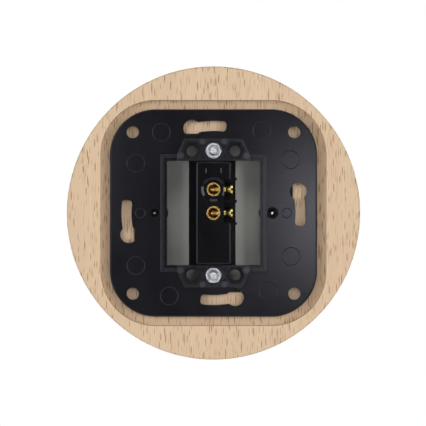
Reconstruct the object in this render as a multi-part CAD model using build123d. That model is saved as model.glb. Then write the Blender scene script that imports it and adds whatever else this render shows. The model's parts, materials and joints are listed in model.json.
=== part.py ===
from build123d import *
import os
from math import cos, degrees, radians, sin, sqrt, tan

# Round wall switch: beech frame, glazed ceramic cover, moulded support plate and toggle switch module.
# Each piece is modelled lying on its back: X across the wall, Y up the wall, Z out of the wall into the
# room, with the wall at Z = 0. stand() turns it upright, so the room side faces -Y. Lengths are in mm.

# Beech frame
FRAME_DIAMETER = 100.0
FRAME_DEPTH = 12.0
FRAME_FRONT_ROUND = 3.0
FRAME_EDGE_BREAK = 0.4
RECESS_SIDE = 77.0
RECESS_CORNER = 18.7
RECESS_DEPTH = 3.6
WEB_THICKNESS = 3.8
OPENING_CORNER = 12.0

# Ceramic cover
COVER_DIAMETER = 70.0
COVER_CLEARANCE = 0.4
COVER_SIDE_HEIGHT = 6.0
COVER_DOME_RISE = 3.0
COVER_WALL = 4.2
COVER_EDGE_ROUND = 2.2
COVER_RIM_WIDTH = 6.0
COVER_DISH_RISE = 2.2
COVER_COLLAR_WIDTH = 2.2
COVER_COLLAR_HEIGHT = 0.8
COVER_COLLAR_ROUND = 0.55
COVER_BOSS_DIAMETER = 9.4
COVER_BOSS_GAP = 0.3
COVER_SCREW_SPACING = 40.2

# Support plate
PLATE_GAP = 3.1
PLATE_THICKNESS = 2.6
PLATE_EDGE_ROUND = 0.6
COLLAR_GAP = 0.3
COLLAR_THICKNESS = 1.6
COLLAR_HEIGHT = 2.5
WINDOW_WIDTH = 31.8
WINDOW_HEIGHT = 35.6
RIM_LEDGE = 0.9
RIM_WIDTH = 1.4
RIM_HEIGHT = 0.9
RIM_STEP = 0.6
RIM_ROUND = 0.35
CORNER_HOLE_DIAMETER = 4.2
CORNER_HOLE_INSET = 7.8
SLOT_RADIUS = 29.75
SLOT_WIDTH = 3.5
SLOT_TAIL = 4.4
SLOT_CORNER = 1.1
EYE_DIAMETER = 5.8
EYE_RADIUS = 28.95
EYE_SHIFT = 7.4
SIDE_POCKET_DIAMETER = 4.1
SIDE_POCKET_DEPTH = 2.0
SIDE_BOSS_DIAMETER = 9.0
SIDE_BOSS_HEIGHT = 3.4

# Nut bosses of the support plate
SCREW_BEYOND_WINDOW = 3.4
NUT_BOSS_HEIGHT = 2.0
NUT_BOSS_WIDE = 25.0
NUT_BOSS_NARROW = 20.0
NUT_BOSS_REACH = 4.2
NUT_BOSS_SHOULDER = 1.2
NUT_BOSS_WALL = 0.9
NUT_BOSS_ROUND = 0.35
NUT_POCKET_PITCH = 7.4
NUT_POCKET_FLOOR = 2.2
SPARE_HOLE_DIAMETER = 3.7
CORE_DEPTH = 1.1
PAD_RADIUS = 1.05
PAD_PROUD = 0.1
PAD_RISE = 3.1
PAD_DROP = 1.7

# Marks of the ejector pins on the plate's rear, seen from the room side
EJECTOR_DIAMETER = 6.4
EJECTOR_DEPTH = 0.12
EJECTOR_SLOPE = 0.3
EJECTOR_PLACES = [
    (17.8, 27.6),
    (-16.5, 28.2),
    (26.5, 17.0),
    (-26.3, 18.2),
    (26.5, -17.9),
    (-26.5, -14.8),
    (15.1, -28.3),
    (-18.7, -26.6),
]
SMALL_EJECTOR_DIAMETER = 3.6
SMALL_EJECTOR_X = 25.0

# Screws and nuts
SCREW_DIAMETER = 3.0
THREAD_CLEARANCE = 0.03
SCREW_HOLE_CLEARANCE = 0.2
NUT_ACROSS_FLATS = 5.4
NUT_THICKNESS = 2.4
NUT_POCKET_CLEARANCE = 0.1
NUT_CHAMFER = 0.6
NUT_CHAMFER_ANGLE = 40.0
PAN_HEAD_DIAMETER = 5.6
PAN_HEAD_HEIGHT = 1.9
PAN_HEAD_ROUND = 1.1
SCREW_TIP_PROUD = 0.4
SCREW_TIP_CHAMFER = 0.4
SINK_HEAD_DIAMETER = 6.0
SINK_HEAD_CROWN = 0.5
SINK_CLEARANCE = 0.1
DRIVE_SLOT_WIDTH = 0.8
DRIVE_SLOT_DEPTH = 0.9
TIP_CONE = 1.2

# Switch module: front flange
FLANGE_WIDTH = 16.0
FLANGE_SHIFT = 0.45
FLANGE_LAP = 0.9
FLANGE_THICKNESS = 2.0
FLANGE_CORNER = 0.8
TAB_WIDTH = 9.0
TAB_REACH = 3.4
TAB_CORNER = 2.5
TAB_GAP = 0.65
NECK_DIAMETER = 10.6
NECK_HEIGHT = 4.8
NECK_LIP = 0.9
SPIGOT_WALL = 0.9
SPIGOT_HEIGHT = 1.2
FIT_CLEARANCE = 0.05

# Switch module: rear housing
BLOCK_WIDTH = 11.7
BLOCK_END_GAP = 0.65
BLOCK_BEHIND_PLATE = 13.4
BLOCK_CORNER = 0.6
BLOCK_EDGE = 0.5
BLOCK_SIDE_WALL = 1.2
BLOCK_END_WALL = 1.4
CAVITY_DEPTH = 8.6
TERMINAL_PITCH = 7.9
BAY_WALL = 3.5
BAY_FLOOR_WALL = 1.0
RIB_PITCH = 7.45
RIB_THICKNESS = 0.9
RIB_REACH = 7.8
RIB_SETBACK = 0.6
WELL_DIAMETER = 8.2
WELL_DEPTH = 0.3
WELL_SLOPE = 0.8
BLOCK_PIP_SPACING = 5.0
BLOCK_PIP_INSET = 2.95
BLOCK_PIP_RADIUS = 0.45
BLOCK_PIP_LENGTH = 1.6
BLOCK_PIP_HEIGHT = 0.3
HOOK_WIDTH = 4.4
HOOK_THICKNESS = 0.9
HOOK_BARB = 0.4
HOOK_CLEARANCE = 0.1

# Brass terminals and their clamp screws
TUBE_DIAMETER = 4.6
WIRE_BORE_DIAMETER = 3.6
WIRE_BORE_DEPTH = 6.4
TUBE_PROUD = 0.2
TUBE_SEAT_CLEARANCE = 0.03
CLAMP_DIAMETER = 2.6
CLAMP_AXIS_DEPTH = 3.6
CLAMP_CROSSING = 1.2
CLAMP_CLEARANCE = 0.05
CLAMP_HEAD_DIAMETER = 4.4
CLAMP_HEAD_END = 6.4
CLAMP_CONE_START = 4.1
CLAMP_RIM = 0.6
CLAMP_TIP_CHAMFER = 0.4
CLAMP_SLOT_WIDTH = 0.6

# Toggle lever, measured from its pivot
PIVOT_HEIGHT = 6.6
LEVER_THROW = 28.0
HUB_DIAMETER = 6.0
HUB_CLEARANCE = 0.4
SHANK_DIAMETER = 3.8
SHANK_LENGTH = 5.0
KNOB_DIAMETER = 5.8
LEVER_LENGTH = 22.6
TAIL_DIAMETER = 4.0
TAIL_LENGTH = 7.4
STOP_CLEARANCE = 0.12
COVER_HOLE_CLEARANCE = 0.5
PIN_DIAMETER = 1.6
PIN_SEAT_CLEARANCE = 0.02
PIN_RUNNING_CLEARANCE = 0.05

# Spring and plunger in the lever's tail
TAIL_BORE_DIAMETER = 2.6
TAIL_BORE_CAP = 1.7
PLUNGER_CLEARANCE = 0.05
PLUNGER_LENGTH = 3.6
PLUNGER_REACH = 9.0
SPRING_WIRE = 0.3
SPRING_SIDE_GAP = 0.15
SPRING_TURNS = 5
SPRING_END_GAP = 0.05

# Contact rocker, measured from its own pivot
ROCKER_BEHIND_PIVOT = 9.5
ROCKER_TILT = 8.0
STRIP_THICKNESS = 0.7
STRIP_WIDTH = 4.2
STRIP_FLAT = 0.9
STRIP_BEND = 3.0
STRIP_RISE = 0.6
STRIP_TOP = 9.4
STRIP_BOTTOM = 4.8
TRUNNION_DIAMETER = 1.0
TRUNNION_CLEARANCE = 0.06
TRUNNION_OVERHANG = 0.3
EAR_GAP = 0.3
EAR_THICKNESS = 0.7
EAR_HEIGHT_ABOVE_PIVOT = 0.6
BRACKET_THICKNESS = 0.8
BRACKET_HEIGHT = 4.6
CONTACT_DIAMETER = 2.6
CONTACT_THICKNESS = 0.6
CONTACT_GAP = 0.08
RIVET_DIAMETER = 1.2
RIVET_CLEARANCE = 0.02
RIVET_HEAD_THICKNESS = 0.25
RIVET_HEAD_DIAMETER = 1.8
FIXED_RIVET_DEPTH = 0.8

# Heights above the wall that several pieces share
PLATE_FRONT = RECESS_DEPTH
PLATE_REAR = PLATE_FRONT - PLATE_THICKNESS
WEB_FRONT = RECESS_DEPTH + WEB_THICKNESS
RIM_TOP = PLATE_REAR - RIM_HEIGHT
NUT_BOSS_TOP = PLATE_REAR - NUT_BOSS_HEIGHT
POCKET_FLOOR = PLATE_FRONT - NUT_POCKET_FLOOR
SIDE_BOSS_TOP = PLATE_FRONT + SIDE_BOSS_HEIGHT
FLANGE_FRONT = PLATE_FRONT + FLANGE_THICKNESS
NECK_TOP = FLANGE_FRONT + NECK_HEIGHT
BLOCK_REAR = PLATE_REAR - BLOCK_BEHIND_PLATE
CAVITY_FLOOR = PLATE_FRONT - CAVITY_DEPTH
BAY_FLOOR = CAVITY_FLOOR - BAY_FLOOR_WALL
TUBE_REAR = BLOCK_REAR - TUBE_PROUD
CLAMP_HEIGHT = BLOCK_REAR + CLAMP_AXIS_DEPTH
COVER_CROWN = WEB_FRONT + COVER_SIDE_HEIGHT + COVER_DOME_RISE
COVER_COLLAR_TOP = COVER_CROWN + COVER_COLLAR_HEIGHT
ROCKER_HEIGHT = PIVOT_HEIGHT - ROCKER_BEHIND_PIVOT

# Sizes that follow from their neighbours
PLATE_SIDE = RECESS_SIDE - 2 * PLATE_GAP
PLATE_CORNER = RECESS_CORNER - PLATE_GAP
CORNER_HOLE_SPACING = PLATE_SIDE - 2 * CORNER_HOLE_INSET
MODULE_SCREW_Y = WINDOW_HEIGHT / 2 + SCREW_BEYOND_WINDOW
COLLAR_SIDE = 2 * (MODULE_SCREW_Y + TAB_REACH + TAB_GAP + COLLAR_THICKNESS)
OPENING_SIDE = COLLAR_SIDE + 2 * COLLAR_GAP
FLANGE_HEIGHT = WINDOW_HEIGHT + 2 * FLANGE_LAP
BLOCK_HEIGHT = WINDOW_HEIGHT - 2 * BLOCK_END_GAP
BLOCK_PIP_Y = BLOCK_HEIGHT / 2 - BLOCK_PIP_INSET
SCREW_HOLE_RADIUS = SCREW_DIAMETER / 2 + SCREW_HOLE_CLEARANCE
NUT_POCKET_FLATS = NUT_ACROSS_FLATS + 2 * NUT_POCKET_CLEARANCE
COVER_SCREW_X = COVER_SCREW_SPACING / 2
LEVER_TILT = LEVER_THROW / 2
PLUNGER_DIAMETER = TAIL_BORE_DIAMETER - 2 * PLUNGER_CLEARANCE
CAVITY_WIDTH = BLOCK_WIDTH - 2 * BLOCK_SIDE_WALL
CAVITY_HEIGHT = BLOCK_HEIGHT - 2 * BLOCK_END_WALL
TERMINAL_YS = (0.0, TERMINAL_PITCH)
RIB_YS = [TERMINAL_PITCH / 2 + step * RIB_PITCH for step in (-1, 0, 1)]


def between(sketch, low, high):
    """The solid that a flat outline fills between two heights."""
    return extrude(Pos(0, 0, low) * sketch, high - low)


def soft_block(outline, low, high, edge_round):
    """The solid that an outline fills, with its rear edges rounded."""
    block = between(outline, low, high)
    return fillet(block.edges().group_by(Axis.Z)[0], edge_round)


def rod(radius, low, high, x=0.0, y=0.0):
    """A round bar or hole that stands on the wall."""
    return between(Pos(x, y) * Circle(radius), low, high)


def cross_rod(radius, left, right, y, z):
    """A round bar or hole along X."""
    return Pos(left, y, z) * Rot(0, 90, 0) * extrude(Circle(radius), right - left)


def dish(diameter, slope, depth):
    """A shallow round hollow from height 0 up, narrower by slope all round at its depth."""
    return Pos(0, 0, depth / 2) * Cone(diameter / 2, diameter / 2 - slope, depth)


def rounded_square(side, corner):
    """A square outline with rounded corners."""
    return RectangleRounded(side, side, corner)


def box_between(low, high):
    """A block between two opposite corners."""
    size = [high[axis] - low[axis] for axis in range(3)]
    middle = [(high[axis] + low[axis]) / 2 for axis in range(3)]
    return Pos(*middle) * Box(*size)


def dome_height(radius, crown, rise, edge_radius):
    """Height of a shallow dome at a radius: crown on the axis, lower by rise at its edge radius."""
    sphere = (edge_radius**2 + rise**2) / (2 * rise)
    return crown - sphere + sqrt(sphere**2 - radius**2)


def cover_front(radius):
    """Height of the ceramic cover's front surface."""
    return dome_height(radius, COVER_CROWN, COVER_DOME_RISE, COVER_DIAMETER / 2)


def cover_ceiling(radius):
    """Height of the ceramic cover's hollow, seen from behind."""
    edge = COVER_DIAMETER / 2 - COVER_RIM_WIDTH
    return dome_height(radius, COVER_CROWN - COVER_WALL, COVER_DISH_RISE, edge)


def hexagon(flats):
    """A hexagon with two flats across Y, as the nuts lie."""
    return RegularPolygon(flats / sqrt(3), 6)


def spin(section):
    """Turns a half section, drawn with the radius along X and the height along Y, about the Z axis."""
    return revolve(Plane.XZ * section, Axis.Z)


def wood_frame():
    """Turned beech ring: square recess behind, round seat in front, square opening between them."""
    outer = FRAME_DIAMETER / 2
    section = Rectangle(outer, FRAME_DEPTH, align=(Align.MIN, Align.MIN))
    front_corner = section.vertices().sort_by_distance((outer, FRAME_DEPTH))[0]
    section = fillet(front_corner, FRAME_FRONT_ROUND)
    rear_corner = section.vertices().sort_by_distance((outer, 0))[0]
    section = chamfer(rear_corner, FRAME_EDGE_BREAK)
    frame = spin(section)
    frame -= between(rounded_square(RECESS_SIDE, RECESS_CORNER), 0, RECESS_DEPTH)
    frame -= between(rounded_square(OPENING_SIDE, OPENING_CORNER), 0, FRAME_DEPTH)
    seat_radius = COVER_DIAMETER / 2 + COVER_CLEARANCE
    frame -= rod(seat_radius, WEB_FRONT, FRAME_DEPTH)
    break_radius = seat_radius + FRAME_EDGE_BREAK
    break_cone = Cone(seat_radius, break_radius, FRAME_EDGE_BREAK)
    frame -= Pos(0, 0, FRAME_DEPTH - FRAME_EDGE_BREAK / 2) * break_cone
    return frame


def ceramic_cover():
    """Slip cast and glazed dome with a hollow behind, a collar at the lever and two screw bosses."""
    outer = COVER_DIAMETER / 2
    inner = outer - COVER_RIM_WIDTH
    hole = cover_hole_radius()
    collar = hole + COVER_COLLAR_WIDTH
    middle = (hole + inner) / 2
    front = (collar + outer) / 2
    side_top = WEB_FRONT + COVER_SIDE_HEIGHT
    outline = Polyline((inner, WEB_FRONT), (outer, WEB_FRONT), (outer, side_top))
    outline += ThreePointArc(
        (outer, side_top), (front, cover_front(front)), (collar, cover_front(collar))
    )
    outline += Polyline(
        (collar, cover_front(collar)),
        (collar, COVER_COLLAR_TOP),
        (hole, COVER_COLLAR_TOP),
        (hole, cover_ceiling(hole)),
    )
    outline += ThreePointArc(
        (hole, cover_ceiling(hole)), (middle, cover_ceiling(middle)), (inner, cover_ceiling(inner))
    )
    outline += Line((inner, cover_ceiling(inner)), (inner, WEB_FRONT))
    section = make_face(outline)
    edge_corner = section.vertices().sort_by_distance((outer, side_top))[0]
    section = fillet(edge_corner, COVER_EDGE_ROUND)
    for radius in (collar, hole):
        collar_corner = section.vertices().sort_by_distance((radius, COVER_COLLAR_TOP))[0]
        section = fillet(collar_corner, COVER_COLLAR_ROUND)
    cover = spin(section)
    boss_low = SIDE_BOSS_TOP + COVER_BOSS_GAP
    for x in (-COVER_SCREW_X, COVER_SCREW_X):
        boss_high = cover_ceiling(COVER_SCREW_X) + COVER_WALL / 2
        cover += rod(COVER_BOSS_DIAMETER / 2, boss_low, boss_high, x)
        cover -= rod(SCREW_HOLE_RADIUS, boss_low, COVER_COLLAR_TOP, x)
        cover -= Pos(x, 0, cover_front(COVER_SCREW_X)) * sink_head(SINK_CLEARANCE)
    return cover


def cover_hole_radius():
    """Hole that the tilted lever clears at its widest."""
    reach = (COVER_COLLAR_TOP - PIVOT_HEIGHT) * tan(radians(LEVER_TILT))
    return reach + KNOB_DIAMETER / 2 / cos(radians(LEVER_TILT)) + COVER_HOLE_CLEARANCE


def keyhole():
    """Outline of the upper fixing slot: a curved slot that opens into a round eye."""
    eye_turn = degrees(EYE_SHIFT / EYE_RADIUS)
    tail_turn = degrees(SLOT_TAIL / SLOT_RADIUS)
    start = 90 - eye_turn
    turn = eye_turn + tail_turn
    inner = CenterArc((0, 0), SLOT_RADIUS - SLOT_WIDTH / 2, start, turn)
    outer = CenterArc((0, 0), SLOT_RADIUS + SLOT_WIDTH / 2, start, turn)
    outline = make_face([inner, outer, Line(inner @ 0, outer @ 0), Line(inner @ 1, outer @ 1)])
    outline = fillet(outline.vertices().sort_by(Axis.X)[:2], SLOT_CORNER)
    outline += Pos(EYE_SHIFT, EYE_RADIUS) * Circle(EYE_DIAMETER / 2)
    return outline


def nut_boss_outline(inset, low):
    """Outline of the upper nut boss above a low edge, drawn in from its other edges by inset."""
    shoulder = MODULE_SCREW_Y - NUT_BOSS_SHOULDER
    high = MODULE_SCREW_Y + NUT_BOSS_REACH - inset
    wide = NUT_BOSS_WIDE / 2 - inset
    narrow = NUT_BOSS_NARROW / 2 - inset
    points = [(-wide, low), (wide, low), (wide, shoulder), (narrow, high)]
    points += [(-narrow, high), (-wide, shoulder)]
    return make_face(Polyline(*points, close=True))


def pocket_xs():
    """Places of the three nut pockets across one boss."""
    return (-NUT_POCKET_PITCH, 0.0, NUT_POCKET_PITCH)


def nut_boss_cores():
    """Hollows between the nut pockets and the boss's outer wall."""
    cores = nut_boss_outline(NUT_BOSS_WALL, WINDOW_HEIGHT / 2 + NUT_BOSS_WALL)
    for x in pocket_xs():
        cores -= Pos(x, MODULE_SCREW_Y) * hexagon(NUT_POCKET_FLATS + 2 * NUT_BOSS_WALL)
    return cores


def pad_places():
    """Places of the four ejector pads in the hollows of one boss."""
    inner = NUT_POCKET_PITCH / 2
    outer = NUT_POCKET_PITCH * 3 / 2
    high = MODULE_SCREW_Y + PAD_RISE
    low = MODULE_SCREW_Y - PAD_DROP
    return ((-outer, low), (-inner, high), (inner, high), (outer, low))


def add_nut_boss(plate, turn):
    """One of the two raised bosses, with three hexagon pockets and round pads between them."""
    turned = Rot(0, 0, turn)
    boss = nut_boss_outline(0, WINDOW_HEIGHT / 2 - NUT_BOSS_ROUND)
    plate += turned * soft_block(boss, NUT_BOSS_TOP, PLATE_REAR, NUT_BOSS_ROUND)
    plate -= turned * between(nut_boss_cores(), NUT_BOSS_TOP, NUT_BOSS_TOP + CORE_DEPTH)
    for x, y in pad_places():
        plate += turned * rod(PAD_RADIUS, NUT_BOSS_TOP - PAD_PROUD, PLATE_REAR, x, y)
    for x in pocket_xs():
        pocket = Pos(x, MODULE_SCREW_Y) * hexagon(NUT_POCKET_FLATS)
        plate -= turned * between(pocket, NUT_BOSS_TOP, POCKET_FLOOR)
        radius = SPARE_HOLE_DIAMETER / 2 if x else SCREW_HOLE_RADIUS
        plate -= turned * rod(radius, POCKET_FLOOR, PLATE_FRONT, x, MODULE_SCREW_Y)
    return plate


def support_plate():
    """Moulded plate: window with a stepped rim, keyhole slots, nut bosses and a collar in front."""
    outline = rounded_square(PLATE_SIDE, PLATE_CORNER)
    plate = soft_block(outline, PLATE_REAR, PLATE_FRONT, PLATE_EDGE_ROUND)
    step_width = WINDOW_WIDTH + 2 * RIM_LEDGE
    step_height = WINDOW_HEIGHT + 2 * RIM_LEDGE
    rim = Rectangle(step_width + 2 * RIM_WIDTH, step_height + 2 * RIM_WIDTH)
    plate += soft_block(rim, RIM_TOP, PLATE_REAR, RIM_ROUND)
    plate -= between(Rectangle(step_width, step_height), RIM_TOP, RIM_TOP + RIM_STEP)
    for turn in (0, 180):
        plate = add_nut_boss(plate, turn)
    plate -= between(Rectangle(WINDOW_WIDTH, WINDOW_HEIGHT), NUT_BOSS_TOP, PLATE_FRONT)
    for turn in (0, 90, 180, 270):
        plate -= Rot(0, 0, -turn) * between(keyhole(), PLATE_REAR, PLATE_FRONT)
    half = CORNER_HOLE_SPACING / 2
    for x in (-half, half):
        for y in (-half, half):
            plate -= rod(CORNER_HOLE_DIAMETER / 2, PLATE_REAR, PLATE_FRONT, x, y)
    collar = rounded_square(COLLAR_SIDE, OPENING_CORNER - COLLAR_GAP)
    inside = COLLAR_SIDE - 2 * COLLAR_THICKNESS
    collar -= rounded_square(inside, OPENING_CORNER - COLLAR_GAP - COLLAR_THICKNESS)
    plate += between(collar, PLATE_FRONT, PLATE_FRONT + COLLAR_HEIGHT)
    pocket_floor = PLATE_REAR + SIDE_POCKET_DEPTH
    for x in (-COVER_SCREW_X, COVER_SCREW_X):
        plate += rod(SIDE_BOSS_DIAMETER / 2, PLATE_FRONT, SIDE_BOSS_TOP, x)
        pocket = Pos(x, 0) * Circle(SIDE_POCKET_DIAMETER / 2) - rim
        plate -= between(pocket, PLATE_REAR, pocket_floor)
        plate -= rod(SCREW_DIAMETER / 2 + THREAD_CLEARANCE, pocket_floor, SIDE_BOSS_TOP, x)
    return plate


def add_plate_marks(plate):
    """Shallow round marks that the ejector pins leave on the plate's rear."""
    for x, y in EJECTOR_PLACES:
        plate -= Pos(x, y, PLATE_REAR) * dish(EJECTOR_DIAMETER, EJECTOR_SLOPE, EJECTOR_DEPTH)
    for x in (-SMALL_EJECTOR_X, SMALL_EJECTOR_X):
        plate -= Pos(x, 0, PLATE_REAR) * dish(SMALL_EJECTOR_DIAMETER, EJECTOR_SLOPE, EJECTOR_DEPTH)
    return plate


def drive_slot(width, depth, diameter, top):
    """A straight screwdriver slot, cut down from a head's top and past its edge."""
    return Pos(0, 0, top - depth / 2) * Box(2 * diameter, width, depth)


def sink_head(clearance=0.0):
    """Countersunk head with a low crown, its rim at height 0 and its cone below."""
    rim = SINK_HEAD_DIAMETER / 2 + clearance
    core = SCREW_DIAMETER / 2
    outline = Polyline((0, -rim + core), (core, -rim + core), (rim, 0))
    middle = dome_height(core, SINK_HEAD_CROWN, SINK_HEAD_CROWN, rim)
    outline += ThreePointArc((rim, 0), (core, middle), (0, SINK_HEAD_CROWN))
    outline += Line((0, SINK_HEAD_CROWN), (0, -rim + core))
    return spin(make_face(outline))


def cover_screw(x):
    """Slotted countersunk screw that clamps cover, frame and plate together."""
    seat = cover_front(COVER_SCREW_X)
    tip = PLATE_REAR + SIDE_POCKET_DEPTH - SCREW_TIP_PROUD
    screw = Pos(0, 0, seat) * sink_head()
    screw += rod(SCREW_DIAMETER / 2, tip + TIP_CONE, seat - SCREW_DIAMETER / 2)
    cone = Cone(SCREW_DIAMETER / 2 - TIP_CONE, SCREW_DIAMETER / 2, TIP_CONE)
    screw += Pos(0, 0, tip + TIP_CONE / 2) * cone
    top = seat + SINK_HEAD_CROWN
    screw -= drive_slot(DRIVE_SLOT_WIDTH, DRIVE_SLOT_DEPTH, SINK_HEAD_DIAMETER, top)
    return Pos(x, 0, 0) * screw


def fixing_screw(y):
    """Pan head screw that holds the module to the plate."""
    head = extrude(Circle(PAN_HEAD_DIAMETER / 2), PAN_HEAD_HEIGHT)
    head = fillet(head.edges().group_by(Axis.Z)[-1], PAN_HEAD_ROUND)
    head -= drive_slot(DRIVE_SLOT_WIDTH, DRIVE_SLOT_DEPTH, PAN_HEAD_DIAMETER, PAN_HEAD_HEIGHT)
    tip = POCKET_FLOOR - NUT_THICKNESS - SCREW_TIP_PROUD
    shank = rod(SCREW_DIAMETER / 2, tip, FLANGE_FRONT)
    shank = chamfer(shank.edges().group_by(Axis.Z)[0], SCREW_TIP_CHAMFER)
    return Pos(0, y, 0) * (Pos(0, 0, FLANGE_FRONT) * head + shank)


def fixing_nut(y):
    """Hexagon nut, chamfered on both faces."""
    low = POCKET_FLOOR - NUT_THICKNESS
    nut = between(hexagon(NUT_ACROSS_FLATS), low, POCKET_FLOOR)
    corner = NUT_ACROSS_FLATS / sqrt(3)
    slope = tan(radians(NUT_CHAMFER_ANGLE))
    flat = corner - NUT_CHAMFER
    outline = Polyline(
        (0, 0),
        (flat, 0),
        (corner, NUT_CHAMFER * slope),
        (corner, NUT_THICKNESS - NUT_CHAMFER * slope),
        (flat, NUT_THICKNESS),
        (0, NUT_THICKNESS),
        close=True,
    )
    nut &= Pos(0, 0, low) * spin(make_face(outline))
    bore = SCREW_DIAMETER / 2 + THREAD_CLEARANCE
    nut -= rod(bore, low, POCKET_FLOOR)
    nut -= Pos(0, 0, low + NUT_CHAMFER / 2) * Cone(bore + NUT_CHAMFER, bore, NUT_CHAMFER)
    return Pos(0, y, 0) * nut


def switch_cover():
    """Front half of the module: flange with screw tabs, neck that stops the lever, and a spigot."""
    body = Pos(FLANGE_SHIFT, 0) * RectangleRounded(FLANGE_WIDTH, FLANGE_HEIGHT, FLANGE_CORNER)
    tabs = RectangleRounded(TAB_WIDTH, 2 * (MODULE_SCREW_Y + TAB_REACH), TAB_CORNER)
    cover = between(body + tabs, PLATE_FRONT, FLANGE_FRONT)
    cover += rod(NECK_DIAMETER / 2, FLANGE_FRONT, NECK_TOP)
    spigot_width = CAVITY_WIDTH - 2 * FIT_CLEARANCE
    spigot_height = CAVITY_HEIGHT - 2 * FIT_CLEARANCE
    spigot = Rectangle(spigot_width, spigot_height)
    spigot -= Rectangle(spigot_width - 2 * SPIGOT_WALL, spigot_height - 2 * SPIGOT_WALL)
    cover += between(spigot, PLATE_FRONT - SPIGOT_HEIGHT, PLATE_FRONT)
    lip_low = NECK_TOP - NECK_LIP
    cover -= rod(HUB_DIAMETER / 2 + HUB_CLEARANCE, PLATE_FRONT, lip_low)
    cover -= rod(neck_mouth_radius(), lip_low, NECK_TOP)
    pin_hole = PIN_DIAMETER / 2 + PIN_SEAT_CLEARANCE
    cover -= cross_rod(pin_hole, -NECK_DIAMETER, NECK_DIAMETER, 0, PIVOT_HEIGHT)
    for side in (-1, 1):
        y = side * MODULE_SCREW_Y
        cover -= rod(SCREW_HOLE_RADIUS, PLATE_FRONT, FLANGE_FRONT, 0, y)
        inner = CAVITY_HEIGHT / 2 + HOOK_CLEARANCE
        outer = inner + HOOK_THICKNESS + 2 * HOOK_CLEARANCE
        window = Pos(0, side * (inner + outer) / 2)
        window *= Rectangle(HOOK_WIDTH + 2 * HOOK_CLEARANCE, outer - inner)
        cover -= between(window, PLATE_FRONT, FLANGE_FRONT)
    return cover


def neck_mouth_radius():
    """Mouth of the neck, which stops the lever's shank at either end of its throw."""
    tilt = radians(LEVER_TILT)
    reach = (NECK_TOP - PIVOT_HEIGHT) * tan(tilt)
    return reach + SHANK_DIAMETER / 2 / cos(tilt) + STOP_CLEARANCE


def switch_base():
    """Rear half of the module: cavity in front, terminal holes and open screw bays behind."""
    outline = RectangleRounded(BLOCK_WIDTH, BLOCK_HEIGHT, BLOCK_CORNER)
    base = soft_block(outline, BLOCK_REAR, PLATE_FRONT, BLOCK_EDGE)
    base -= between(Rectangle(CAVITY_WIDTH, CAVITY_HEIGHT), CAVITY_FLOOR, PLATE_FRONT)
    side = BLOCK_WIDTH / 2
    base -= box_between((-side, RIB_YS[0], BLOCK_REAR), (-BAY_WALL, RIB_YS[-1], BAY_FLOOR))
    half_rib = RIB_THICKNESS / 2
    for y in RIB_YS:
        low = (-RIB_REACH, y - half_rib, BLOCK_REAR + RIB_SETBACK)
        base += box_between(low, (-BAY_WALL, y + half_rib, BAY_FLOOR))
    base -= Pos(0, TERMINAL_PITCH, BLOCK_REAR) * dish(WELL_DIAMETER, WELL_SLOPE, WELL_DEPTH)
    for y in TERMINAL_YS:
        base -= rod(TUBE_DIAMETER / 2 + TUBE_SEAT_CLEARANCE, BLOCK_REAR, CAVITY_FLOOR, 0, y)
        hole = CLAMP_DIAMETER / 2 + CLAMP_CLEARANCE
        base -= cross_rod(hole, -BAY_WALL, 0, y, CLAMP_HEIGHT)
    pip = Rot(90, 0, 0) * Cylinder(BLOCK_PIP_RADIUS, BLOCK_PIP_LENGTH)
    pip_height = BLOCK_REAR + BLOCK_PIP_RADIUS - BLOCK_PIP_HEIGHT
    for x in (-BLOCK_PIP_SPACING / 2, BLOCK_PIP_SPACING / 2):
        base += Pos(x, BLOCK_PIP_Y, pip_height) * pip
    for turn in (0, 180):
        base += Rot(0, 0, turn) * hook()
    return base


def hook():
    """Catch on the housing's upper end wall that snaps over the front flange."""
    inner = CAVITY_HEIGHT / 2 + 2 * HOOK_CLEARANCE
    outer = inner + HOOK_THICKNESS
    top = FLANGE_FRONT + HOOK_CLEARANCE
    points = [(inner, PLATE_FRONT), (outer, PLATE_FRONT), (outer, top), (outer + HOOK_BARB, top)]
    points += [(inner, top + HOOK_THICKNESS)]
    profile = make_face(Polyline(*points, close=True))
    return extrude(Plane.YZ * profile, HOOK_WIDTH / 2, both=True)


def terminal_tube(y, front):
    """Brass tube with a wire bore from behind and a tapped hole for its clamp screw."""
    tube = rod(TUBE_DIAMETER / 2, TUBE_REAR, front, 0, y)
    tube -= rod(WIRE_BORE_DIAMETER / 2, TUBE_REAR, TUBE_REAR + WIRE_BORE_DEPTH, 0, y)
    hole = CLAMP_DIAMETER / 2 + CLAMP_CLEARANCE
    tube -= cross_rod(hole, -TUBE_DIAMETER, 0, y, CLAMP_HEIGHT)
    return tube


def rocker_point(along, height, tilt):
    """Where a point of the contact rocker lies in the module when the rocker is tilted."""
    turn = radians(tilt)
    y = along * cos(turn) - height * sin(turn)
    z = ROCKER_HEIGHT + along * sin(turn) + height * cos(turn)
    return y, z


def closed_contact():
    """Place of the moving contact's face when the switch is on."""
    face = STRIP_RISE - STRIP_THICKNESS / 2 - CONTACT_THICKNESS
    return rocker_point(TERMINAL_PITCH, face, -ROCKER_TILT)


def load_front():
    """Front end of the load terminal, behind its contact."""
    slack = CONTACT_DIAMETER / 2 * sin(radians(ROCKER_TILT))
    return closed_contact()[1] - CONTACT_GAP - slack - CONTACT_THICKNESS


def terminal_load():
    """Upper terminal, with a hole for the fixed contact in its front end."""
    tube = terminal_tube(TERMINAL_PITCH, load_front())
    low = load_front() - FIXED_RIVET_DEPTH
    hole = rod(RIVET_DIAMETER / 2 + RIVET_CLEARANCE, low, load_front())
    return tube - Pos(0, TERMINAL_PITCH, 0) * hole


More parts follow.
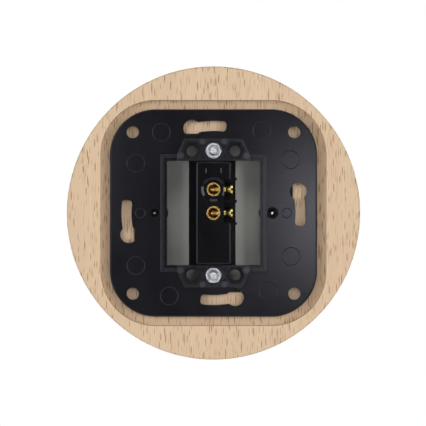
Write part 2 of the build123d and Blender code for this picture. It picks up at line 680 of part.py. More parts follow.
def terminal_common():
    """Lower terminal, with a bracket whose two notched ears carry the contact rocker."""
    bracket_top = CAVITY_FLOOR + BRACKET_THICKNESS
    terminal = terminal_tube(0, bracket_top)
    inner = STRIP_WIDTH / 2 + EAR_GAP
    outer = inner + EAR_THICKNESS
    foot = Rectangle(2 * outer, BRACKET_HEIGHT)
    terminal += between(foot, CAVITY_FLOOR, bracket_top)
    ear_top = ROCKER_HEIGHT + EAR_HEIGHT_ABOVE_PIVOT
    notch = TRUNNION_DIAMETER / 2 + TRUNNION_CLEARANCE
    ear = Rectangle(BRACKET_HEIGHT, ear_top - bracket_top, align=(Align.CENTER, Align.MIN))
    ear = Pos(0, bracket_top) * ear
    ear -= Pos(0, ROCKER_HEIGHT) * Circle(notch)
    ear -= Pos(0, ROCKER_HEIGHT) * Rectangle(2 * notch, 2 * notch, align=(Align.CENTER, Align.MIN))
    for x in (-outer, inner):
        terminal += Pos(x, 0, 0) * extrude(Plane.YZ * ear, EAR_THICKNESS)
    return terminal


def clamp_screw(y):
    """Brass clamp screw along X: its tip crosses the wire bore and its flared head lies in the bay."""
    shank = CLAMP_DIAMETER / 2
    head = CLAMP_HEAD_DIAMETER / 2
    length = CLAMP_CROSSING + CLAMP_HEAD_END
    cone_start = CLAMP_CROSSING + CLAMP_CONE_START
    outline = Polyline(
        (0, 0),
        (shank - CLAMP_TIP_CHAMFER, 0),
        (shank, CLAMP_TIP_CHAMFER),
        (shank, cone_start),
        (head, length - CLAMP_RIM),
        (head, length),
        (0, length),
        close=True,
    )
    screw = spin(make_face(outline))
    screw -= drive_slot(CLAMP_SLOT_WIDTH, CLAMP_RIM, CLAMP_HEAD_DIAMETER, length)
    return Pos(CLAMP_CROSSING, y, CLAMP_HEIGHT) * Rot(0, -90, 0) * screw


def lever_pose(piece):
    """Tips a piece of the lever, drawn along Z from its pivot, to the off position."""
    return Pos(0, 0, PIVOT_HEIGHT) * Rot(-LEVER_TILT, 0, 0) * piece


def toggle_lever():
    """Turned lever: ball hub on the pin, slim shank, drop shaped knob and a bored tail."""
    shank = SHANK_DIAMETER / 2
    knob = KNOB_DIAMETER / 2
    tail = TAIL_DIAMETER / 2
    hub = HUB_DIAMETER / 2
    knob_middle = LEVER_LENGTH - knob
    outline = Polyline(
        (0, -TAIL_LENGTH),
        (tail, -TAIL_LENGTH),
        (tail, 0),
        (shank, 0),
        (shank, SHANK_LENGTH),
        (knob, knob_middle),
        (0, knob_middle),
        close=True,
    )
    lever = spin(make_face(outline)) + Pos(0, 0, knob_middle) * Sphere(knob) + Sphere(hub)
    lever -= rod(TAIL_BORE_DIAMETER / 2, -TAIL_LENGTH, -TAIL_BORE_CAP)
    lever -= cross_rod(PIN_DIAMETER / 2 + PIN_RUNNING_CLEARANCE, -hub, hub, 0, 0)
    return lever_pose(lever)


def pivot_pin():
    """Steel pin across the neck."""
    half = sqrt((NECK_DIAMETER / 2) ** 2 - (PIN_DIAMETER / 2) ** 2)
    return cross_rod(PIN_DIAMETER / 2, -half, half, 0, PIVOT_HEIGHT)


def plunger():
    """Round ended pin in the lever's tail."""
    radius = PLUNGER_DIAMETER / 2
    top = PLUNGER_LENGTH - PLUNGER_REACH
    pin = rod(radius, radius - PLUNGER_REACH, top) + Pos(0, 0, radius - PLUNGER_REACH) * Sphere(radius)
    return lever_pose(pin)


def lever_spring():
    """Compression spring between the tail's blind end and the plunger."""
    radius = TAIL_BORE_DIAMETER / 2 - SPRING_SIDE_GAP - SPRING_WIRE / 2
    low = PLUNGER_LENGTH - PLUNGER_REACH + SPRING_END_GAP + SPRING_WIRE / 2
    high = -TAIL_BORE_CAP - SPRING_END_GAP - SPRING_WIRE / 2
    path = Helix(pitch=(high - low) / SPRING_TURNS, height=high - low, radius=radius)
    wire = Plane(origin=path @ 0, z_dir=path % 0) * Circle(SPRING_WIRE / 2)
    return lever_pose(Pos(0, 0, low) * sweep(wire, path))


def rocker_pose(piece):
    """Tips a piece of the rocker, drawn about its own pivot, to the off position."""
    return Pos(0, 0, ROCKER_HEIGHT) * Rot(ROCKER_TILT, 0, 0) * piece


def contact_rocker():
    """Boat shaped contact strip with round trunnions in the bracket's notches."""
    half = STRIP_THICKNESS / 2
    line = [(-STRIP_BOTTOM, STRIP_RISE), (-STRIP_BEND, STRIP_RISE), (-STRIP_FLAT, 0.0)]
    line += [(STRIP_FLAT, 0.0), (STRIP_BEND, STRIP_RISE), (STRIP_TOP, STRIP_RISE)]
    upper = [(y, z + half) for y, z in line]
    lower = [(y, z - half) for y, z in reversed(line)]
    profile = make_face(Polyline(*upper, *lower, close=True))
    strip = extrude(Plane.YZ * profile, STRIP_WIDTH / 2, both=True)
    reach = STRIP_WIDTH / 2 + EAR_GAP + EAR_THICKNESS + TRUNNION_OVERHANG
    strip += cross_rod(TRUNNION_DIAMETER / 2, -reach, reach, 0, 0)
    hole = RIVET_DIAMETER / 2 + RIVET_CLEARANCE
    strip -= rod(hole, STRIP_RISE - half, STRIP_RISE + half, 0, TERMINAL_PITCH)
    return rocker_pose(strip)


def moving_contact():
    """Silver rivet on the rocker, its broad head towards the fixed contact."""
    half = STRIP_THICKNESS / 2
    low = STRIP_RISE - half - CONTACT_THICKNESS
    high = STRIP_RISE + half
    head = rod(CONTACT_DIAMETER / 2, low, low + CONTACT_THICKNESS)
    rivet = head + rod(RIVET_DIAMETER / 2, low, high)
    rivet += rod(RIVET_HEAD_DIAMETER / 2, high, high + RIVET_HEAD_THICKNESS)
    return rocker_pose(Pos(0, TERMINAL_PITCH, 0) * rivet)


def fixed_contact():
    """Silver rivet in the front end of the load terminal."""
    front = load_front()
    rivet = rod(CONTACT_DIAMETER / 2, front, front + CONTACT_THICKNESS)
    rivet += rod(RIVET_DIAMETER / 2, front - FIXED_RIVET_DEPTH, front)
    return Pos(0, TERMINAL_PITCH, 0) * rivet


def stand(piece):
    """Turns a piece from lying on its back to hanging on the wall, with the room side at -Y."""
    return Plane.XZ.location * piece


def build():
    """Every piece of the switch by name, standing in the shared frame."""
    lying = {
        "wood_frame": wood_frame(),
        "ceramic_cover": ceramic_cover(),
        "support_plate": add_plate_marks(support_plate()),
        "switch_cover": switch_cover(),
        "switch_base": switch_base(),
        "terminal_common": terminal_common(),
        "terminal_load": terminal_load(),
        "terminal_screw_common": clamp_screw(TERMINAL_YS[0]),
        "terminal_screw_load": clamp_screw(TERMINAL_YS[1]),
        "fixing_screw_upper": fixing_screw(MODULE_SCREW_Y),
        "fixing_screw_lower": fixing_screw(-MODULE_SCREW_Y),
        "fixing_nut_upper": fixing_nut(MODULE_SCREW_Y),
        "fixing_nut_lower": fixing_nut(-MODULE_SCREW_Y),
        "cover_screw_left": cover_screw(-COVER_SCREW_X),
        "cover_screw_right": cover_screw(COVER_SCREW_X),
        "toggle_lever": toggle_lever(),
        "pivot_pin": pivot_pin(),
        "lever_spring": lever_spring(),
        "plunger": plunger(),
        "contact_rocker": contact_rocker(),
        "moving_contact": moving_contact(),
        "fixed_contact": fixed_contact(),
    }
    return {name: stand(piece) for name, piece in lying.items()}


os.makedirs("parts", exist_ok=True)
for name, piece in build().items():
    export_step(piece, f"parts/{name}.step")
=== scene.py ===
import json
from math import atan, cos, pi, sin

import bpy
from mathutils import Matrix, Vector


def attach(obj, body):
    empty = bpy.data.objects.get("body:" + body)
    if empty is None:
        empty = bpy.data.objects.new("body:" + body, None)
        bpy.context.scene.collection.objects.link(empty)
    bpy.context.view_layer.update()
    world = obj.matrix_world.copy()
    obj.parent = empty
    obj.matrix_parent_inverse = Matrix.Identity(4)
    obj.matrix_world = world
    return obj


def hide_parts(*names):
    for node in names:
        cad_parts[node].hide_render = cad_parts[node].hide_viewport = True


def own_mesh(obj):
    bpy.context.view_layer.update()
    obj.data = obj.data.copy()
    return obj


# Lengths are in metres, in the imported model's frame: Z up, the room side at -Y, the wall at Y = 0.
# Cells are texture cells per metre, along X, Y and Z. A span is a low and a high value.
MM = 0.001

# Camera: straight behind the switch, as in the photograph
PHOTO_SIZE = 426
PIXELS_PER_MM = 2.9345
OBJECT_PIXEL_SHIFT = 0.5
CAMERA_DISTANCE = 0.7
CAMERA_CLIP = 0.01

# Lamps: name, place, side of the square, power in watts, and whether matt surfaces show its light.
# The two small ones that they don't show give the black plate its sheen.
LAMPS = (
    ("rear_right", (-0.74, 0.95, 0.14), 0.65, 6.7, True),
    ("rear_left", (0.74, 0.95, 0.12), 0.65, 6.1, True),
    ("rear_top", (0.0, 0.8, 0.8), 0.5, 1.7, True),
    ("sheen_right", (-0.108, 0.95, 0.0), 0.08, 0.235, False),
    ("sheen_left", (0.19, 0.95, 0.05), 0.08, 0.20, False),
    ("front_left", (-0.8, -1.0, 0.7), 0.8, 9.5, True),
    ("front_right", (0.9, -0.9, 0.2), 0.8, 6.0, True),
)

# Floor
FLOOR_DROP = 0.45
FLOOR_SIZE = 5.0
FLOOR_ROUGHNESS = 0.9
FLOOR_LIFT = 0.5

# Surround's strength as matt surfaces get it and as gloss mirrors its dark side, and the reach of the blend
# between that side and the white one
AMBIENT = 0.19
DARK_SIDE = 0.05
SIDE_BLEND = 0.3

# Spring in the lever's tail, with its place measured along the lever from its pivot
SPRING_NEAR_END = 1.75 * MM
SPRING_LENGTH = 3.6 * MM
COIL_RADIUS = 1.0 * MM
WIRE_RADIUS = 0.15 * MM
SPRING_TURNS = 5.5
CLOSED_TURNS = 0.9
CLOSED_PITCH = 0.31 * MM
STEPS_PER_TURN = 40
WIRE_STEPS = 12
COIL_STEPS = int(SPRING_TURNS * STEPS_PER_TURN)

# Where noise values mostly lie, and the same for patches that cover less than half of a surface
NOISE_SPAN = (0.3, 0.7)
PATCH_SPAN = (0.35, 0.75)

# Beech, with its grain along Z
BAND_CELLS = (110.0, 60.0, 5.0)
FIBRE_CELLS = (1900.0, 1900.0, 75.0)
FIBRE_SPAN = (0.40, 0.66)
FIBRE_DEPTH = 0.85
FIBRE_STRENGTH = 0.25
FIBRE_RELIEF = 0.05 * MM
STREAK_CELLS = (650.0, 520.0, 32.0)
STREAK_SPAN = (0.44, 0.66)
STREAK_DEPTH = 0.70
BEECH_ROUGHNESS = (0.52, 0.66)
BEECH_SPECULAR = 0.35

# Beech flecks of three kinds: cells, radius in a cell, least brightness of a cell that holds one, and depth
FLECKS = (
    ((1300.0, 950.0, 150.0), 0.28, 0.24, 0.84),
    ((1750.0, 1200.0, 165.0), 0.27, 0.22, 0.66),
    ((2200.0, 1500.0, 110.0), 0.27, 0.15, 0.42),
)
FLECK_CORE = 0.7

# Moulded plastic: flow marks, spark eroded grain, and painted light in patches on the raised faces
FLOW_CELLS = (45.0, 45.0, 28.0)
FLOW_PALER = 1.55
FLOW_ROUGHNESS = 0.04
GRAIN_ROUGHNESS = 0.03
GRAIN_STRENGTH = 0.30
LIGHT_PATCH_CELLS = (1100.0, 1100.0, 700.0)
LIGHT_PATCH_SPAN = (0.35, 0.65)
LIGHT_PATCH_DEPTH = (0.3, 1.0)
PLASTIC_TINT = (0.88, 0.88, 1.0)

# Support plate's levels along Y: its pockets lie below the first, its rim and nut bosses, painted paler as
# painted light, above the second, and the pads on its nut bosses, painted palest as a painted sheen, above
# the third
POCKET_LEVEL = -1.25 * MM
RAISED_LEVEL = -0.6 * MM
PAD_LEVEL = 1.04 * MM
LEVEL_BLEND = 0.1 * MM
PAD_BLEND = 0.03 * MM
POCKET_ROUGHNESS = 0.35

# Ejector marks in the support plate: their sloping edges lie between these levels and are matt
MARK_FLOOR = -1.12 * MM
MARK_EDGE = -1.0 * MM
MARK_BLEND = 0.01 * MM
MARK_ROUGHNESS = 0.4

# Ceramic: glazed, with faint waves and specks, but unglazed in its hollow, where its normals point to +Y and
# its colour is painted darker as painted shade
CLOUD_CELLS = (60.0,) * 3
CLOUD_SPAN = (0.35, 0.7)
SPECK_CELLS = (420.0,) * 3
SPECK_RADIUS = (0.04, 0.09)
SPECK_DEPTH = 0.35
WAVE_CELLS = (170.0,) * 3
WAVE_STRENGTH = 0.12
WAVE_RELIEF = 0.12 * MM
GLAZE_WARMTH = (0.985, 0.97, 0.94)
GLAZE_ROUGHNESS = (0.07, 0.12)
GLAZE_SPECULAR = 0.6
HOLLOW_SPAN = (0.1, 0.4)
HOLLOW_ROUGHNESS = 0.5

# Metal: tool marks and an uneven tone
TOOL_CELLS = (2600.0,) * 3
TURNED_CELLS = (700.0, 4200.0, 700.0)
TOOL_SPAN = (0.25, 0.75)
TOOL_ROUGHNESS = 0.16
TOOL_STRENGTH = 0.35
TONE_CELLS = (260.0,) * 3
TARNISH_DEPTH = 2.2

# Tube terminals: how far behind its mouth a tube starts to darken with painted shade, and where that painted
# shade is full all round
TUBE_CELLS = (420.0,) * 3
TUBE_EDGE = 0.18 * MM
TUBE_BRIGHT = 0.6 * MM
TUBE_PATCHES = 0.3
TUBE_ROUGHNESS = (0.26, 0.34)

# Colours, as linear values
FLOOR_COLOUR = (0.82, 0.82, 0.81)
BEECH_LIGHT = (0.70, 0.535, 0.355)
BEECH_DARK = (0.62, 0.455, 0.295)
BEECH_ROSE = (0.64, 0.44, 0.31)
BEECH_FLECK = (0.29, 0.165, 0.085)
PLATE_COLOUR = (0.0046, 0.0046, 0.0062)
# Painted light on the support plate: paler raised faces, and the palest pads as a painted sheen
RAISED_LIGHT_COLOUR = (0.021, 0.021, 0.0245)
PAD_SHEEN_COLOUR = (0.042, 0.042, 0.047)
MODULE_COLOUR = (0.0040, 0.0040, 0.0050)
PLUNGER_COLOUR = (0.70, 0.68, 0.62)
CERAMIC_COLOUR = (0.80, 0.79, 0.755)
# Colour of the ceramic's matt hollow, darker than the glaze as painted shade
BISCUIT_SHADE_COLOUR = (0.64, 0.635, 0.605)
SPECK_COLOUR = (0.42, 0.36, 0.28)
BRASS_COLOUR = (0.86, 0.68, 0.24)
TUBE_COLOUR = (0.56, 0.35, 0.12)
# Colour of the tubes' random darker patches, and of the painted shade deeper in their bores
TUBE_PATCH_AND_SHADE_COLOUR = (0.20, 0.085, 0.02)
ZINC_COLOUR = (0.78, 0.80, 0.84)
NICKEL_COLOUR = (0.74, 0.71, 0.66)
STEEL_COLOUR = (0.48, 0.48, 0.50)
BRONZE_COLOUR = (0.74, 0.45, 0.26)
SILVER_COLOUR = (0.87, 0.86, 0.84)


class Graph:
    """A node tree, with short calls for the nodes that the finishes and the surround use."""

    def __init__(self, tree):
        self.nodes = tree.nodes
        self.links = tree.links

    def feed(self, socket, value):
        """Links an output to a socket, or sets the socket to a number or to a colour given as a tuple."""
        if isinstance(value, bpy.types.NodeSocket):
            self.links.new(value, socket)
        elif isinstance(value, tuple):
            socket.default_value = (*value, 1.0)
        else:
            socket.default_value = value

    def coordinates(self, kind):
        """Texture coordinates of one kind."""
        return self.nodes.new("ShaderNodeTexCoord").outputs[kind]

    def axis(self, vector, name):
        """One coordinate of a vector."""
        node = self.nodes.new("ShaderNodeSeparateXYZ")
        self.feed(node.inputs["Vector"], vector)
        return node.outputs[name]

    def cells(self, scale):
        """Object coordinates, in metres, times a number of cells along each axis."""
        node = self.nodes.new("ShaderNodeMapping")
        node.inputs["Scale"].default_value = scale
        self.feed(node.inputs["Vector"], self.coordinates("Object"))
        return node.outputs["Vector"]

    def noise(self, scale, detail=2.0, roughness=0.5, distortion=0.0):
        """Noise with so many cells along each axis."""
        node = self.nodes.new("ShaderNodeTexNoise")
        node.inputs["Scale"].default_value = 1.0
        node.inputs["Detail"].default_value = detail
        node.inputs["Roughness"].default_value = roughness
        node.inputs["Distortion"].default_value = distortion
        self.feed(node.inputs["Vector"], self.cells(scale))
        return node.outputs["Fac"]

    def voronoi(self, scale):
        """Outputs of a Voronoi pattern: distance to the cell's middle, and the cell's random colour."""
        node = self.nodes.new("ShaderNodeTexVoronoi")
        node.inputs["Scale"].default_value = 1.0
        self.feed(node.inputs["Vector"], self.cells(scale))
        return node.outputs["Distance"], node.outputs["Color"]

    def spread(self, value, span, onto=(0.0, 1.0)):
        """Maps a value's span onto another one, clamped."""
        node = self.nodes.new("ShaderNodeMapRange")
        for name, end in zip(("From Min", "From Max", "To Min", "To Max"), (*span, *onto)):
            self.feed(node.inputs[name], end)
        self.feed(node.inputs["Value"], value)
        return node.outputs["Result"]

    def math(self, kind, first, second):
        """A math node on two values."""
        node = self.nodes.new("ShaderNodeMath")
        node.operation = kind
        self.feed(node.inputs[0], first)
        self.feed(node.inputs[1], second)
        return node.outputs["Value"]

    def mix(self, factor, first, second):
        """Mixes two colours, each a tuple or an output."""
        node = self.nodes.new("ShaderNodeMix")
        node.data_type = "RGBA"
        colours = {i.name: i for i in node.inputs if i.type == "RGBA"}
        self.feed(colours["A"], first)
        self.feed(colours["B"], second)
        self.feed(next(i for i in node.inputs if i.name == "Factor" and i.type == "VALUE"), factor)
        return next(o for o in node.outputs if o.type == "RGBA")

    def bump(self, height, strength, distance):
        """Normals that follow a height."""
        node = self.nodes.new("ShaderNodeBump")
        node.inputs["Strength"].default_value = strength
        node.inputs["Distance"].default_value = distance
        self.feed(node.inputs["Height"], height)
        return node.outputs["Normal"]


class Finish(Graph):
    """A material and its nodes."""

    def __init__(self, name):
        self.material = bpy.data.materials.new(name)
        self.material.use_nodes = True
        super().__init__(self.material.node_tree)
        self.shader = self.nodes["Principled BSDF"]

    def set(self, **values):
        """Feeds the shader's sockets by name, with underscores for spaces, and returns the material."""
        for name, value in values.items():
            self.feed(self.shader.inputs[name.replace("_", " ")], value)
        return self.material


def beech():
    """Fine sanded beech: vertical grain, soft bands and short dark flecks along the grain."""
    g = Finish("beech")
    bands = g.noise(BAND_CELLS, detail=3.0, distortion=0.6)
    fibres = g.noise(FIBRE_CELLS, detail=3.0, roughness=0.6)
    streaks = g.noise(STREAK_CELLS, roughness=0.6)
    colour = g.mix(g.spread(bands, NOISE_SPAN), BEECH_LIGHT, BEECH_DARK)
    colour = g.mix(g.spread(fibres, FIBRE_SPAN, (0.0, FIBRE_DEPTH)), colour, BEECH_DARK)
    colour = g.mix(g.spread(streaks, STREAK_SPAN, (0.0, STREAK_DEPTH)), colour, BEECH_ROSE)
    for cells, radius, least, depth in FLECKS:
        distance, shade = g.voronoi(cells)
        spindle = g.spread(distance, (radius * FLECK_CORE, radius), (1.0, 0.0))
        chosen = g.math("GREATER_THAN", shade, least)
        mask = g.math("MULTIPLY", g.math("MULTIPLY", spindle, chosen), depth)
        colour = g.mix(mask, colour, BEECH_FLECK)
    roughness = g.spread(fibres, NOISE_SPAN, BEECH_ROUGHNESS)
    relief = g.bump(fibres, FIBRE_STRENGTH, FIBRE_RELIEF)
    return g.set(Base_Color=colour, Roughness=roughness, Normal=relief, Specular_IOR_Level=BEECH_SPECULAR)


def moulded(name, colour, roughness, grain_cells, grain_relief, specular=0.32, stepped=False):
    """Moulded plastic with a fine spark eroded grain and faint flow marks, stepped for the support plate
    with painted light on its raised faces and pads.
    """
    g = Finish(name)
    flow = g.noise(FLOW_CELLS, detail=3.0, distortion=1.2)
    grain = g.noise((grain_cells,) * 3, roughness=0.7)
    paler = tuple(c * FLOW_PALER for c in colour)
    tone = g.mix(g.spread(flow, PATCH_SPAN), colour, paler)
    matt = g.spread(grain, NOISE_SPAN, (roughness, roughness + GRAIN_ROUGHNESS))
    shine = g.math("ADD", g.spread(flow, NOISE_SPAN, (0.0, FLOW_ROUGHNESS)), matt)
    if stepped:
        level = g.axis(g.coordinates("Object"), "Y")
        tone = painted_light_steps(g, level, tone)
        shine = g.math("ADD", shine, matt_hollows(g, level))
    relief = g.bump(grain, GRAIN_STRENGTH, grain_relief)
    g.set(Base_Color=tone, Roughness=shine, Normal=relief)
    return g.set(Specular_IOR_Level=specular, Specular_Tint=PLASTIC_TINT)


def painted_light_steps(g, level, tone):
    """Tone of the support plate with painted light: paler in patches on its raised faces, and palest, a
    painted sheen, on its pads.
    """
    raised = g.spread(level, (RAISED_LEVEL, RAISED_LEVEL + LEVEL_BLEND))
    light_noise = g.noise(LIGHT_PATCH_CELLS, detail=3.0, roughness=0.7)
    patches = g.spread(light_noise, LIGHT_PATCH_SPAN, LIGHT_PATCH_DEPTH)
    # Painted light: the raised faces painted paler in patches
    lit_raised = g.mix(g.math("MULTIPLY", raised, patches), tone, RAISED_LIGHT_COLOUR)
    # Painted sheen: the pads painted palest
    return g.mix(g.spread(level, (PAD_LEVEL, PAD_LEVEL + PAD_BLEND)), lit_raised, PAD_SHEEN_COLOUR)


def matt_hollows(g, level):
    """Roughness that the support plate's pockets and the edges of its ejector marks have on top."""
    deep = g.spread(level, (POCKET_LEVEL - LEVEL_BLEND, POCKET_LEVEL), (POCKET_ROUGHNESS, 0.0))
    above = g.spread(level, (MARK_FLOOR + MARK_BLEND, MARK_FLOOR + 2 * MARK_BLEND))
    edge_span = (MARK_EDGE - 2 * MARK_BLEND, MARK_EDGE - MARK_BLEND)
    below = g.spread(level, edge_span, (MARK_ROUGHNESS, 0.0))
    return g.math("ADD", deep, g.math("MULTIPLY", above, below))


def ceramic():
    """White ceramic with faint waves and specks, glazed in front and matt biscuit in its hollow, whose
    colour is painted darker as painted shade.
    """
    g = Finish("glazed_ceramic")
    cloud = g.noise(CLOUD_CELLS, detail=3.0)
    warm = tuple(c * f for c, f in zip(CERAMIC_COLOUR, GLAZE_WARMTH))
    tone = g.mix(g.spread(cloud, CLOUD_SPAN), CERAMIC_COLOUR, warm)
    distance, _ = g.voronoi(SPECK_CELLS)
    glaze = g.mix(g.spread(distance, SPECK_RADIUS, (SPECK_DEPTH, 0.0)), tone, SPECK_COLOUR)
    hollow = g.spread(g.axis(g.coordinates("Normal"), "Y"), HOLLOW_SPAN)
    gloss = g.spread(cloud, NOISE_SPAN, GLAZE_ROUGHNESS)
    roughness = g.math("ADD", gloss, g.math("MULTIPLY", hollow, HOLLOW_ROUGHNESS))
    waves = g.bump(g.noise(WAVE_CELLS, detail=1.0), WAVE_STRENGTH, WAVE_RELIEF)
    # Painted shade: the hollow's colour is darker than the glaze
    g.set(Base_Color=g.mix(hollow, glaze, BISCUIT_SHADE_COLOUR), Roughness=roughness, Normal=waves)
    return g.set(Specular_IOR_Level=GLAZE_SPECULAR)


def metal(name, colour, roughness, marks=TOOL_CELLS, mark_relief=0.02 * MM, tarnish=0.12):
    """Bare or plated metal with fine tool marks and a slightly uneven tone."""
    g = Finish(name)
    lines = g.noise(marks, detail=3.0, roughness=0.7)
    cloud = g.noise(TONE_CELLS, detail=3.0)
    dull = tuple(c * (1.0 - TARNISH_DEPTH * tarnish) for c in colour)
    tone = g.mix(g.spread(cloud, PATCH_SPAN), colour, dull)
    shine = g.spread(lines, TOOL_SPAN, (roughness, roughness + TOOL_ROUGHNESS))
    relief = g.bump(lines, TOOL_STRENGTH, mark_relief)
    return g.set(Base_Color=tone, Roughness=shine, Normal=relief, Metallic=1.0)


def tube_brass(mouth):
    """Drawn brass tube, bright at its mouth and darker deeper in the bore, where its colour holds painted
    shade.
    """
    g = Finish("tube_brass")
    cloud = g.noise(TUBE_CELLS, detail=3.0)
    level = g.axis(g.coordinates("Object"), "Y")
    # Painted shade: the bore's colour darkens away from the mouth
    depth = g.spread(level, (mouth - TUBE_BRIGHT, mouth - TUBE_EDGE), (1.0, 0.0))
    tone = g.mix(g.spread(cloud, NOISE_SPAN, (0.0, TUBE_PATCHES)), TUBE_COLOUR, TUBE_PATCH_AND_SHADE_COLOUR)
    shine = g.spread(cloud, NOISE_SPAN, TUBE_ROUGHNESS)
    return g.set(Base_Color=g.mix(depth, tone, TUBE_PATCH_AND_SHADE_COLOUR), Roughness=shine, Metallic=1.0)


def floor_paint():
    """Pale floor that the camera sees nearly white where no shadow falls."""
    g = Finish("studio_floor")
    rays = g.nodes.new("ShaderNodeLightPath")
    lift = g.math("MULTIPLY", rays.outputs["Is Camera Ray"], FLOOR_LIFT)
    g.set(Base_Color=FLOOR_COLOUR, Roughness=FLOOR_ROUGHNESS)
    return g.set(Emission_Color=(1.0, 1.0, 1.0), Emission_Strength=lift)


def make_finishes():
    """One finish for each material slot of the record."""
    plate = moulded("plate_plastic", PLATE_COLOUR, 0.14, 5200.0, 0.004 * MM, stepped=True)
    module = moulded("module_plastic", MODULE_COLOUR, 0.07, 6500.0, 0.003 * MM, specular=0.28)
    return {
        "beech": beech(),
        "glazed_ceramic": ceramic(),
        "plate_plastic": plate,
        "module_plastic": module,
        "brass": metal("brass", BRASS_COLOUR, 0.20, tarnish=0.06),
        "zinc_steel": metal("zinc_steel", ZINC_COLOUR, 0.22, mark_relief=0.008 * MM, tarnish=0.06),
        "nickel": metal("nickel", NICKEL_COLOUR, 0.14, marks=TURNED_CELLS),
        "spring_steel": metal("spring_steel", STEEL_COLOUR, 0.22),
        "plunger_plastic": moulded("plunger_plastic", PLUNGER_COLOUR, 0.35, 5200.0, 0.02 * MM),
        "contact_bronze": metal("contact_bronze", BRONZE_COLOUR, 0.24),
        "contact_silver": metal("contact_silver", SILVER_COLOUR, 0.18),
    }


def dress_nodes(finishes):
    """Gives every CAD node the finish of its material slot, and the tube terminals their own."""
    finish_of = {s["node"]: finishes[s["material_slot"]] for s in frame["record"]["subparts"]}
    mouth = max(corner[1] for corner in frame["nodes"]["terminal_common"].bound_box)
    tube = tube_brass(mouth)
    finish_of.update(terminal_common=tube, terminal_load=tube)
    for name, node in frame["nodes"].items():
        node.data.materials.clear()
        node.data.materials.append(finish_of[name])


def coil_centre(turn):
    """Distance of the wire's centre from the near end after so many turns; both ends are closed."""
    open_turns = SPRING_TURNS - 2 * CLOSED_TURNS
    closed = CLOSED_TURNS * CLOSED_PITCH
    open_pitch = (SPRING_LENGTH - 2 * WIRE_RADIUS - 2 * closed) / open_turns
    first = min(turn, CLOSED_TURNS)
    last = max(turn - SPRING_TURNS + CLOSED_TURNS, 0.0)
    return WIRE_RADIUS + (first + last) * CLOSED_PITCH + (turn - first - last) * open_pitch


def coil_points(near_end, along):
    """Points of the spring's wire, one ring after the other, away from the near end."""
    across = Vector((1.0, 0.0, 0.0))
    other = along.cross(across)
    points = []
    for step in range(COIL_STEPS + 1):
        turn = step / STEPS_PER_TURN
        out = across * cos(2 * pi * turn) + other * sin(2 * pi * turn)
        centre = near_end + out * COIL_RADIUS - along * coil_centre(turn)
        for side in range(WIRE_STEPS):
            angle = 2 * pi * side / WIRE_STEPS
            points.append(centre + (out * cos(angle) + along * sin(angle)) * WIRE_RADIUS)
    return points


def coil_faces():
    """Faces of the spring's wire: both ends, and a band of quads from each ring to the next."""
    last = COIL_STEPS * WIRE_STEPS
    faces = [tuple(range(WIRE_STEPS)), tuple(reversed(range(last, last + WIRE_STEPS)))]
    for low in range(0, last, WIRE_STEPS):
        high = low + WIRE_STEPS
        for side in range(WIRE_STEPS):
            after = (side + 1) % WIRE_STEPS
            faces.append((low + side, high + side, high + after, low + after))
    return faces


def add_spring(finish):
    """Coil spring in the lever's tail, riding on the lever in place of the hidden lever_spring node."""
    joints = {j["name"]: j for j in frame["record"]["behaviour"]["joints"]}
    slide = joints["plunger_slide"]
    along = Vector(slide["axis"]).normalized()
    near_end = Vector(joints["toggle_tip"]["pos_m"]) - along * SPRING_NEAR_END
    mesh = bpy.data.meshes.new("spring_coil")
    mesh.from_pydata(coil_points(near_end, along), [], coil_faces())
    mesh.shade_smooth()
    mesh.materials.append(finish)
    coil = bpy.data.objects.new("spring_coil", mesh)
    bpy.context.scene.collection.objects.link(coil)
    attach(coil, "lever")
    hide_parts("lever_spring")
    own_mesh(coil)


def aim(thing):
    """Turns a lamp or the camera towards the switch."""
    thing.rotation_euler = (-thing.location).to_track_quat("-Z", "Y").to_euler()


def add_camera():
    """Camera at the photograph's viewing angle, with the object at the photograph's scale."""
    field = PHOTO_SIZE / PIXELS_PER_MM * MM
    data = bpy.data.cameras.new("camera")
    data.sensor_fit = "HORIZONTAL"
    data.angle = 2 * atan(field / 2 / CAMERA_DISTANCE)
    data.shift_x = -OBJECT_PIXEL_SHIFT / PHOTO_SIZE
    data.clip_start = CAMERA_CLIP
    camera = bpy.data.objects.new("camera", data)
    bpy.context.scene.collection.objects.link(camera)
    camera.location = (0.0, CAMERA_DISTANCE, 0.0)
    aim(camera)
    bpy.context.scene.camera = camera


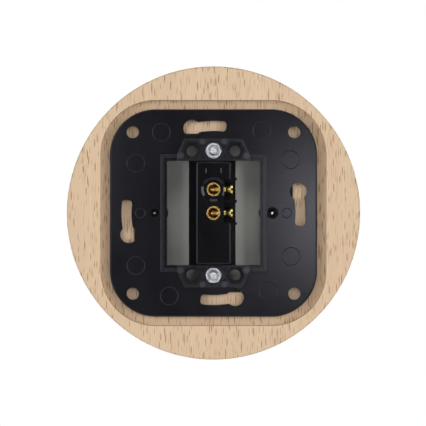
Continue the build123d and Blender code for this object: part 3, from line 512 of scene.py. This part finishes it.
def add_lamps():
    """Soft boxes round the rear, as in the photograph, the sheen lamps, and two for the room side."""
    for name, place, side, power, lights_matt in LAMPS:
        data = bpy.data.lights.new(name, "AREA")
        data.shape = "SQUARE"
        data.size = side
        data.energy = power
        lamp = bpy.data.objects.new(name, data)
        bpy.context.scene.collection.objects.link(lamp)
        lamp.location = place
        lamp.visible_diffuse = lights_matt
        aim(lamp)


def add_floor():
    """Pale floor below the switch."""
    bpy.ops.mesh.primitive_plane_add(size=FLOOR_SIZE, location=(0.0, 0.0, -FLOOR_DROP))
    floor = bpy.context.object
    floor.name = "studio_floor"
    floor.data.materials.append(floor_paint())


def add_surround():
    """Surround that the camera sees white and that lights matt surfaces dimly.

    Gloss and clear pieces show it white on the room side and dark behind the switch."""
    world = bpy.data.worlds.new("studio")
    bpy.context.scene.world = world
    world.use_nodes = True
    g = Graph(world.node_tree)
    rays = g.nodes.new("ShaderNodeLightPath").outputs
    behind = g.axis(g.coordinates("Generated"), "Y")
    side = g.spread(behind, (-SIDE_BLEND, SIDE_BLEND), (1.0, DARK_SIDE))
    bright = g.math("MAXIMUM", rays["Is Camera Ray"], side)
    mirrored = g.math("MAXIMUM", rays["Is Glossy Ray"], rays["Is Transmission Ray"])
    seen = g.math("MAXIMUM", rays["Is Camera Ray"], mirrored)
    background = g.nodes["Background"]
    g.feed(background.inputs["Color"], (1.0, 1.0, 1.0))
    g.feed(background.inputs["Strength"], g.spread(seen, (0.0, 1.0), (AMBIENT, bright)))


with open("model.json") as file:
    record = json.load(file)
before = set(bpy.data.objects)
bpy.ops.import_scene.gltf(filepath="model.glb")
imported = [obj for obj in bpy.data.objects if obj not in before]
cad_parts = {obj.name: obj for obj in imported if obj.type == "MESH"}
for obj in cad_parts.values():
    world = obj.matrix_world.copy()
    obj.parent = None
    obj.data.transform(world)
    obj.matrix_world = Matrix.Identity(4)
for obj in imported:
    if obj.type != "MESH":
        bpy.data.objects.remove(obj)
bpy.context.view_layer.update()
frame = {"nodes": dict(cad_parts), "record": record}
bpy.context.scene.view_settings.view_transform = "Standard"
add_camera()
add_lamps()
add_floor()
add_surround()
finishes = make_finishes()
dress_nodes(finishes)
add_spring(finishes["spring_steel"])
